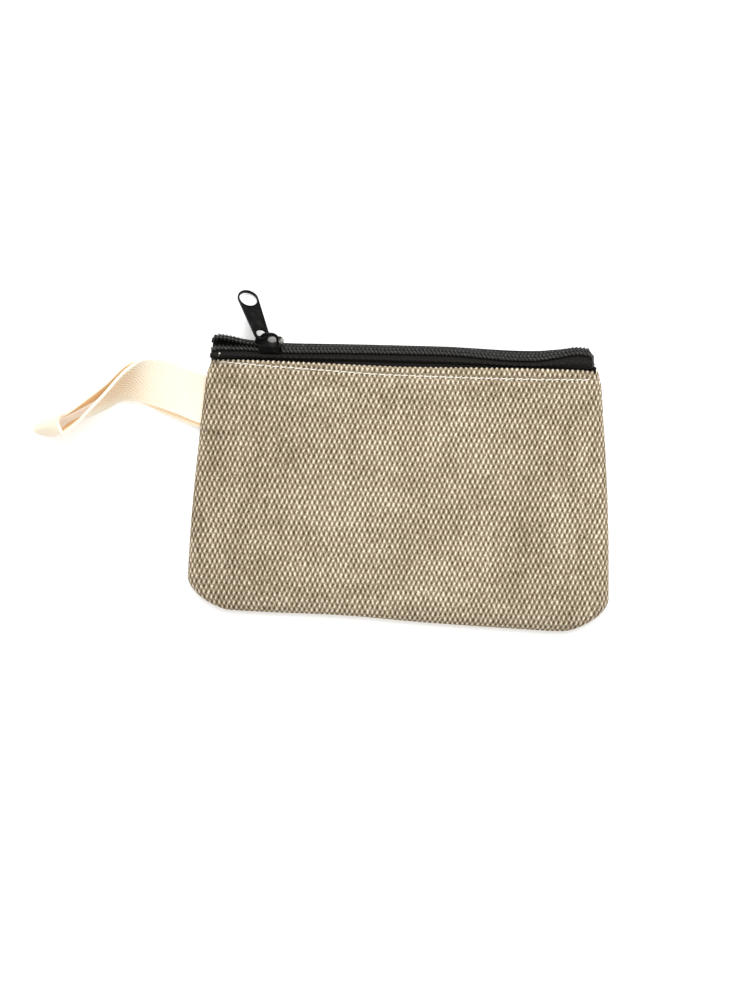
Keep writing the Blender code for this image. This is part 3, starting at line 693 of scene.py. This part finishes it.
def ripples(x, y):
    """Slow unevenness of the cloth, made of two crossing waves."""
    return RIPPLE * (np.sin(x / 9.0 + 1.3) * np.sin(y / 13.0 + 0.4) + 0.6 * np.sin(x / 5.1 + y / 8.3))


def pucker(x, y, d):
    """Little gathers that the stitching draws in along the sides and the bottom."""
    along = np.sin(x * 1.05 + 0.7 * np.sin(y / 6.0)) + np.sin(y * 1.15 + 0.9 * np.sin(x / 7.0))
    return PUCKER * along * np.exp(-d / PUCKER_REACH) * np.clip(d / PUCKER_EASE, 0.0, 1.0)


def topstitch_y(x):
    path = np.array(TOPSTITCH_FRONT)
    return np.interp(x, path[:, 0], path[:, 1])


def turned_edge(x, v):
    """How far the cloth's round fold at the mouth falls away from its face."""
    to_edge = np.clip((1.0 - v) * (top_y(x) - bottom_y(x)), 0.0, FOLD)
    return FOLD - np.sqrt(FOLD**2 - (FOLD - to_edge) ** 2)


def front_surface(u, v):
    """Outer face of the front panel."""
    x, y = panel_xy(u, v)
    d = from_seam(u, v)
    z = seam_height(v) + SEAM_HALF_GAP + quarter_round(d, FRONT_ROLL) + OUTLET_LIFT * at_loop(u, v)
    z += FRONT_PUFF * (1.0 - np.exp(-d / PUFF_REACH)) * (1.0 - PUFF_LOSS * v)
    z += ripples(x, y) * np.clip(d / RIPPLE_EASE, 0.0, 1.0) + pucker(x, y, d)
    to_stitch = y - topstitch_y(x)
    hem = HEM_RIDGE * smooth(to_stitch, *HEM_RIDGE_RUN) - GROOVE * np.exp(-((to_stitch / GROOVE_WIDTH) ** 2))
    z += hem * np.clip(d / HEM_EASE, 0.0, 1.0)
    return x, y, z - turned_edge(x, v)


def back_surface(u, v):
    """Outer, lower face of the back panel."""
    x, y = panel_xy(u, v)
    edge = seam_height(v) - SEAM_HALF_GAP - OUTLET_SINK * at_loop(u, v)
    low = FLOOR_GAP + BACK_LIFT * smooth(y, *BACK_LIFT_RUN)
    z = edge - (edge - low) * quarter_round(from_seam(u, v), BACK_ROLL) / BACK_ROLL
    return x, y, z + turned_edge(x, v)


def normals_of(surface, u, v, sign):
    """Unit normals of a surface, by differences; sign says which side is outward."""
    step = 1e-4
    u_low, u_high = np.maximum(u - step, -1.0), np.minimum(u + step, 1.0)
    v_low, v_high = np.maximum(v - step, 0.0), np.minimum(v + step, 1.0)
    du = np.stack(surface(u_high, v), -1) - np.stack(surface(u_low, v), -1)
    dv = np.stack(surface(u, v_high), -1) - np.stack(surface(u, v_low), -1)
    normal = np.cross(du, dv)
    return sign * normal / np.maximum(np.linalg.norm(normal, axis=-1, keepdims=True), TINY)


def weave_height(x, y, sign):
    """Cream floats stand proud of the weft; sign is -1 on a face that may only sink."""
    drift = THREAD_DRIFT * np.sin(x / 2.7 + 2.0 * np.sin(y / 6.1))
    lean = LEAN * np.sin(math.tau * y / WEFT)
    lattice = np.cos(math.pi * (x + drift - lean) / WARP) * np.cos(math.pi * y / WEFT)
    lattice = np.sign(lattice) * np.abs(lattice) ** FLOAT_ROUNDING
    uneven = 1.0 + UNEVENNESS * np.sin(x * 2.31 + y * 0.7) * np.sin(y * 1.9 - x * 0.33)
    height = RELIEF * uneven * lattice
    return height if sign > 0 else height - RELIEF * (1.0 + UNEVENNESS)


def panel_grid(columns, rows):
    """A grid of u and v, closer together towards the panel's edges."""
    a = np.linspace(-1.0, 1.0, columns + 1)
    t = np.linspace(0.0, 1.0, rows + 1)
    u = a + EDGE_CROWDING * np.sin(math.pi * a) / math.pi
    v = t - EDGE_CROWDING * np.sin(math.tau * t) / math.tau
    return np.meshgrid(u, v)


def panel(name, surface, sign, roll, finish):
    """A woven sheet with a finely modelled outer face and a plainer inner one, closed at its rim."""
    fine, coarse = PANEL_GRID, [count // PANEL_INNER_STEP for count in PANEL_GRID]
    u, v = panel_grid(*fine)
    outer = np.stack(surface(u, v), -1)
    rest = unrolled(u, v, outer, roll)
    woven = weave_height(rest[..., 0], rest[..., 1], sign)
    woven *= np.clip(RIM_RELIEF + from_seam(u, v) / RELIEF_EASE, 0.0, 1.0)
    outer = outer + normals_of(surface, u, v, sign) * woven[..., None]

    u, v = panel_grid(*coarse)
    inner = np.stack(surface(u, v), -1)
    inner_rest = unrolled(u, v, inner, roll)
    inner = inner - normals_of(surface, u, v, sign) * CLOTH

    points = np.concatenate([outer.reshape(-1, 3), inner.reshape(-1, 3)])
    rests = np.concatenate([rest.reshape(-1, 3), inner_rest.reshape(-1, 3)])
    first = outer.shape[0] * outer.shape[1]
    faces = grid_faces(fine[0] + 1, fine[1] + 1, 0, sign < 0)
    faces += grid_faces(coarse[0] + 1, coarse[1] + 1, first, sign > 0)
    faces += rim_faces(fine, coarse, first, sign < 0)
    if sign < 0:
        points[:, 2] = np.maximum(points[:, 2], FLOOR_GAP)
    return mesh_object(name, points, faces, finish, rests)


def grid_border(columns, rows, first):
    """The vertices along a grid's bottom, right, top and left edge, in turn round it."""
    last_row = first + (rows - 1) * columns
    bottom = [first + i for i in range(columns)]
    right = [first + (j + 1) * columns - 1 for j in range(rows)]
    top = [last_row + i for i in reversed(range(columns))]
    left = [first + j * columns for j in reversed(range(rows))]
    return bottom, right, top, left


def rim_faces(fine, coarse, first, flip):
    """Polygons that join the two faces of a sheet round its edge."""
    outer = grid_border(fine[0] + 1, fine[1] + 1, 0)
    inner = grid_border(coarse[0] + 1, coarse[1] + 1, first)
    step = fine[0] // coarse[0]
    faces = []
    for high, low in zip(outer, inner):
        for k in range(len(low) - 1):
            ring = [low[k], low[k + 1]] + high[k * step : (k + 1) * step + 1][::-1]
            faces.append(ring[::-1] if flip else ring)
    return faces


def front_normal_lift(x, y, lift):
    """A point this far above the front panel's outer face."""
    u, v = panel_uv(x, y)
    base = np.stack(front_surface(u, v), -1)
    return base + normals_of(front_surface, u, v, 1) * lift[..., None]


# How far points would follow the front wall as the mouth opens; worked out, not applied -----------


def opening(points):
    """How far each point follows the front wall: nothing at the side seams and the zip's ends."""
    x, y = points[:, 0], points[:, 1]
    along = smooth(x, *LEFT_FREES_OVER) * (1.0 - smooth(x, *RIGHT_HELD_OVER))
    up = np.clip((y - FREE_FROM_Y) / FREE_HEIGHT, 0.0, 1.0) ** FREE_POWER
    return along * up


def follow_front_wall(obj):
    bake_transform(obj)
    opening(points_of(obj))


def follow_loop(obj):
    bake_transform(obj)
    points = points_of(obj)


# Zip ------------------------------------------------------------------------------


def zip_drift(x):
    """How the chain wanders from straight: a dip, a hump near its closed end, then down into the seam."""
    path = np.array(ZIP_WANDER)
    slow = through(path, np.interp(x, path[:, 0], np.linspace(0.0, 1.0, len(path))).ravel())[:, 1]
    slow = slow.reshape(np.shape(x))
    left = np.clip(DIVE_LEFT_X - x, 0.0, None) ** 2
    right = np.clip(x - DIVE_RIGHT_X, 0.0, None) ** 2
    dy = slow - DIVE_RIGHT[0] * right - DIVE_LEFT[0] * left
    dz = -DIVE_RIGHT[1] * right - DIVE_LEFT[1] * left
    return np.stack([np.zeros_like(x), dy, dz], -1)


def chain(x, across, normal):
    """A place on the closed zip: across its line and along its normal."""
    x = np.asarray(x, float)
    place = np.stack([x, np.full_like(x, CHAIN_Y), np.full_like(x, CHAIN_Z)], -1)
    return place + np.multiply.outer(across, ACROSS) + np.multiply.outer(normal, NORMAL) + zip_drift(x)


def split(x):
    """How far each row stands off the closing line, left of the slider."""
    return SPLIT * smooth(SLIDER_X - x, -SPLIT_HALF_RUN, SPLIT_HALF_RUN)


def splay(x):
    """0 to 1 where the loose rows spread towards the left end."""
    return smooth(-x, *SPLAY_RUN)


def row(x, side, across, normal):
    """A place in one row of the zip; across is measured away from the closing line."""
    x = np.asarray(x, float)
    shift = split(x) + SPLAY_BOTH * splay(x)
    if side > 0:
        return chain(x, across + shift, normal)
    return chain(x, -(across + shift) - SPLAY_BACK * splay(x), normal + SPLAY_RISE * splay(x))


def turn_phase(side):
    """The back row's turns lie half a tooth further on, between those of the front row."""
    return 0.5 if side < 0 else 0.0


def squared(wave):
    """A sine or cosine with fuller shoulders."""
    return np.sign(wave) * np.abs(wave) ** TURN_FULLNESS


def coil(name, side, finish):
    """The wound nylon of one row: flattened turns that pass between those of the other row."""
    t = np.arange(TURNS * POINTS_PER_TURN + 1) / POINTS_PER_TURN
    x = np.clip(COIL_LEFT + (t + turn_phase(side)) * TOOTH, COIL_LEFT, COIL_RIGHT)
    across = COIL_MIDDLE - COIL_REACH * squared(np.cos(math.tau * t))
    normal = COIL_LIFT + COIL_RISE * squared(np.sin(math.tau * t))
    return tubes(name, [row(x, side, across, normal)], WIRE, finish)


def coil_heads(name, side, finish):
    """The flattened, shiny bends with which each turn grips the turns of the other row."""
    lines = []
    for k in range(TURNS):
        x = np.full(4, COIL_LEFT + (k + turn_phase(side)) * TOOTH)
        lines.append(row(x, side, HEAD_ACROSS, COIL_LIFT + np.linspace(*HEAD_HEIGHTS, 4)))
    return tubes(name, lines, HEAD_RADIUS, finish)


def cord(name, side, finish):
    """The core cord that runs inside the turns of one row."""
    x = np.linspace(COIL_LEFT, COIL_RIGHT, 140)
    return tubes(name, [row(x, side, COIL_MIDDLE + CORE_ACROSS, COIL_LIFT - CORE_SINK)], CORE_RADIUS, finish)


def coil_stitches(name, side, finish):
    """The thread that binds each turn to the tape, one short stitch to a turn."""
    f = np.linspace(-1.0, 1.0, 6)
    across = COIL_MIDDLE + BINDING_ACROSS + BINDING_LEAN * f
    normal = COIL_LIFT + BINDING_LIFT + BINDING_ARCH * (1.0 - f**2)
    lines = []
    for k in range(TURNS - 1):
        x = COIL_LEFT + (k + BINDING_PHASE) * TOOTH + BINDING_HALF * f
        lines.append(row(x, side, across, normal))
    return tubes(name, lines, BINDING_RADIUS, finish, 1)


def tape_profile(side):
    """Middle of the tape from its sewn edge to the chain, as (y, z); None is the panel's inner face."""
    if side > 0:
        sewn = ((35.6, None), (39.5, None), (41.4, None), (41.9, 7.9), (42.5, 9.2))
        ridge = chain(0.0, 3.7, -0.9) - np.array([0.0, 0.0, 0.1])
        loose = (ridge, chain(0.0, 2.6, -TAPE_DEPTH), chain(0.0, 0.85, -TAPE_DEPTH))
    else:
        sewn = ((37.0, 3.1), (39.5, 3.1), (41.2, 3.05), (46.0, 2.45), (47.9, 2.6))
        loose = (chain(0.0, -3.5, -1.0), chain(0.0, -0.85, -TAPE_DEPTH))
    return (*sewn, *((place[1], place[2]) for place in loose))


def under_hem(x, y, z, hem):
    """Heights of the front tape; hem is 1 where it lies on the panel's inner face and 0 where it is free."""
    lining = front_surface(*panel_uv(x, np.minimum(y, top_y(x) - HEM_INSET)))[2] - LINING_DEPTH
    free = np.where(hem > 0.0, np.minimum(z, lining + HEM_ROOM), z)
    return hem * lining + (1.0 - hem) * free


def tape_wrinkles(x, y, t):
    """Small waves over the middle of the loose tape, stronger towards its left end."""
    left = WRINKLE_LEFT * np.sin(x * 1.4) * smooth(-x, *WRINKLE_LEFT_RUN)
    wave = left + WRINKLE_ALL * np.sin(x * 0.7 + y)
    return wave * np.sin(math.pi * np.clip((t - WRINKLES_FROM) / WRINKLES_SHARE, 0.0, 1.0))


def tape(name, side, finish):
    """One woven tape, sewn down along the mouth and folded over to carry its row."""
    columns, rows = TAPE_GRID
    a, t = np.meshgrid(np.linspace(-1.0, 1.0, columns + 1), np.linspace(0.0, 1.0, rows + 1))
    x = a * np.where(a < 0, TAPE_LEFT, TAPE_RIGHT)
    profile = [(y, HEM_Z if z is None else z, 0.0 if z is None else 1.0) for y, z in tape_profile(side)]
    y, z, free = through(profile, t.ravel()).T.reshape(3, *t.shape)
    if side > 0:
        z = under_hem(x, y, z, 1.0 - np.clip(free, 0.0, 1.0))
    shift = side * ACROSS * (split(x) + SPLAY_BOTH * splay(x))[..., None]
    if side < 0:
        shift = shift + (NORMAL * SPLAY_RISE - ACROSS * SPLAY_BACK) * splay(x)[..., None]
    loose = smooth(t, *TAPE_LOOSE_OVER)[..., None]
    points = np.stack([x, y, z], -1) + (shift + zip_drift(x)) * loose
    points[..., 2] += tape_wrinkles(x, y, t)
    length = lengths(points[:, columns // 2, 1:])
    rest = np.stack([x, np.broadcast_to(length[:, None], x.shape), 0.0 * x], -1)
    faces = grid_faces(columns + 1, rows + 1)
    obj = mesh_object(name, points.reshape(-1, 3), faces, finish, rest.reshape(-1, 3))
    thicken(obj, TAPE_THICKNESS)
    return obj


def thicken(obj, thickness):
    step = obj.modifiers.new("thickness", "SOLIDIFY")
    step.thickness = thickness * MM
    step.offset = 0.0


# Wrist loop -----------------------------------------------------------------------


def wrist_loop(finish, inner):
    """The folded cotton tape; its inner face has a finish of its own."""
    columns, rows = LOOP_GRID
    t = np.linspace(0.0, 1.0, rows + 1)
    top, bottom = (through([station[edge] for station in LOOP_STATIONS], t) for edge in (0, 1))
    direction = top - bottom
    direction /= np.linalg.norm(direction, axis=1, keepdims=True)
    across = np.linspace(0.0, LOOP_WIDTH, columns + 1)
    points = bottom[:, None, :] + direction[:, None, :] * across[None, :, None]
    middle = points[:, columns // 2]
    length = lengths(middle)
    normal = np.cross(np.gradient(middle, axis=0), direction)
    normal /= np.linalg.norm(normal, axis=1, keepdims=True)
    wave = np.sin(length / LOOP_WAVE_REACH)[:, None] * np.sin(math.pi * across / LOOP_WIDTH)[None, :]
    points = points + LOOP_WAVE * normal[:, None, :] * wave[..., None]
    rest = np.stack(np.broadcast_arrays(across[None, :], length[:, None], 0.0 * length[:, None]), -1)
    faces = grid_faces(columns + 1, rows + 1)
    obj = mesh_object("wrist_loop_cloth", points.reshape(-1, 3), faces, finish, rest.reshape(-1, 3))
    thicken(obj, LOOP_THICKNESS)
    obj.data.materials.append(inner)
    obj.modifiers["thickness"].material_offset = 1
    edge = obj.modifiers.new("soft_edges", "BEVEL")
    edge.width = LOOP_SOFT_EDGE * MM
    edge.segments = 2
    edge.limit_method = "ANGLE"
    edge.angle_limit = math.radians(60.0)
    return obj


# Threads ---------------------------------------------------------------------------


def stitch_line(path, slant, shape):
    """Short stitches along a path in X and Y; shape turns (x, y, height) into points."""
    path = np.asarray(path, float)
    ends = lengths(path)
    f = np.linspace(-1.0, 1.0, STITCH_POINTS)
    height = STITCH_CROWN - STITCH_DIVE * np.abs(f) ** 4
    lines = []
    at = STITCH_START
    while at + STITCH < ends[-1]:
        s = at + np.linspace(0.0, STITCH - STITCH_GAP, STITCH_POINTS)
        x = np.interp(s, ends, path[:, 0])
        y = np.interp(s, ends, path[:, 1])
        lines.append(shape(x, y + slant * f, height))
        at += STITCH
    return lines


def topstitch_front(finish):
    lines = stitch_line(TOPSTITCH_FRONT, STITCH_SLANT_FRONT, front_normal_lift)
    return tubes("topstitch_front_thread", lines, STITCH_RADIUS_FRONT, finish)


def topstitch_back(finish):
    def under(x, y, height):
        z = back_surface(*panel_uv(x, y))[2]
        return np.stack([x, y, z - height * STITCH_BACK_FLATNESS], -1)

    lines = stitch_line(TOPSTITCH_BACK, STITCH_SLANT_BACK, under)
    return tubes("topstitch_back_thread", lines, STITCH_RADIUS_BACK, finish)


def end_tack(name, x, finish):
    """Short leaning stitches where the end of the zip is caught."""
    f = np.linspace(-1.0, 1.0, 6)
    lines = []
    for k in range(TACK_STITCHES):
        across = x + TACK_STEP * k + TACK_LEAN * f
        lines.append(np.stack([across, TACK_Y + TACK_HALF * f, TACK_Z + TACK_ARCH * (1.0 - f**2)], -1))
    return tubes(name, lines, TACK_RADIUS, finish, 1)


# Camera, light and floor --------------------------------------------------------------


def camera():
    lens = bpy.data.cameras.new("camera")
    lens.lens = LENS
    lens.sensor_fit = "VERTICAL"
    lens.sensor_height = SENSOR
    obj = bpy.data.objects.new("camera", lens)
    obj.location = CAMERA_PLACE
    obj.rotation_euler = (0.0, 0.0, CAMERA_ROLL)
    scene = bpy.context.scene
    scene.collection.objects.link(obj)
    scene.camera = obj
    scene.view_settings.view_transform = "Standard"


def light():
    """A plain bright studio: even light all round, a soft key behind the zip and a weak fill."""
    scene = bpy.context.scene
    world = bpy.data.worlds.new("studio")
    world.use_nodes = True
    background = world.node_tree.nodes["Background"]
    background.inputs["Color"].default_value = WORLD_COLOR
    background.inputs["Strength"].default_value = WORLD_STRENGTH
    scene.world = world
    for name, place, size, power in LAMPS:
        data = bpy.data.lights.new(name, "AREA")
        data.size = size
        data.energy = power
        lamp = bpy.data.objects.new(name, data)
        lamp.location = place
        lamp.rotation_euler = (-Vector(place)).to_track_quat("-Z", "Y").to_euler()
        scene.collection.objects.link(lamp)


def floor():
    bpy.ops.mesh.primitive_plane_add(size=4.0)
    obj = bpy.context.object
    obj.name = "floor"
    obj.data.materials.append(floor_finish())


def make_panels():
    canvas = canvas_finish()
    front = panel("front_panel_cloth", front_surface, 1, FRONT_ROLL, canvas)
    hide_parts("front_panel")
    follow_front_wall(front)

    back = panel("back_panel_cloth", back_surface, -1, BACK_ROLL, canvas)
    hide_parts("back_panel")
    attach(back, "back")


def make_zip(binding):
    black_tape = tape_finish()
    nylon = nylon_finish()
    for side, word in ((1, "front"), (-1, "back")):
        cloth = tape("zip_tape_" + word + "_cloth", side, black_tape)
        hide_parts("zip_tape_" + word)
        turns = coil("zip_coil_" + word + "_wire", side, nylon)
        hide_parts("zip_coil_" + word)
        core = cord("zip_core_" + word, side, binding)
        stitches = coil_stitches("zip_binding_" + word, side, binding)
        heads = coil_heads("zip_heads_" + word, side, nylon)
        for obj in (cloth, turns, core, stitches, heads):
            if side > 0:
                follow_front_wall(obj)
            else:
                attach(obj, "back")


def make_loop(cotton):
    loop = wrist_loop(cotton, cotton_inner_finish())
    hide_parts("wrist_loop")
    follow_loop(loop)


def make_threads(white, binding):
    thread = topstitch_front(white)
    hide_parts("topstitch_front")
    follow_front_wall(thread)
    under = topstitch_back(white)
    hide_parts("topstitch_back")
    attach(under, "back")
    for name, x, finish in (("end_tack_left", TACK_LEFT_X, white), ("end_tack_right", TACK_RIGHT_X, binding)):
        tack = end_tack(name + "_thread", x, finish)
        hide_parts(name)
        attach(tack, "back")


def finish_cad_nodes(cotton, white):
    """The nodes whose CAD shape is shown as it is get detailed materials."""
    lacquer = lacquer_finish()
    shown = {"wrist_loop_tails": cotton, "seam_stitching": white}
    shown |= dict.fromkeys(("slider_body", "slider_bridge", "pull_tab"), lacquer)
    for name, finish in shown.items():
        obj = bpy.data.objects[name]
        obj.data.materials.clear()
        obj.data.materials.append(finish)


def main():
    binding = dark_thread_finish()
    cotton = cotton_finish()
    white = thread_finish()
    make_panels()
    make_zip(binding)
    make_loop(cotton)
    make_threads(white, binding)
    finish_cad_nodes(cotton, white)
    floor()
    camera()
    light()


main()
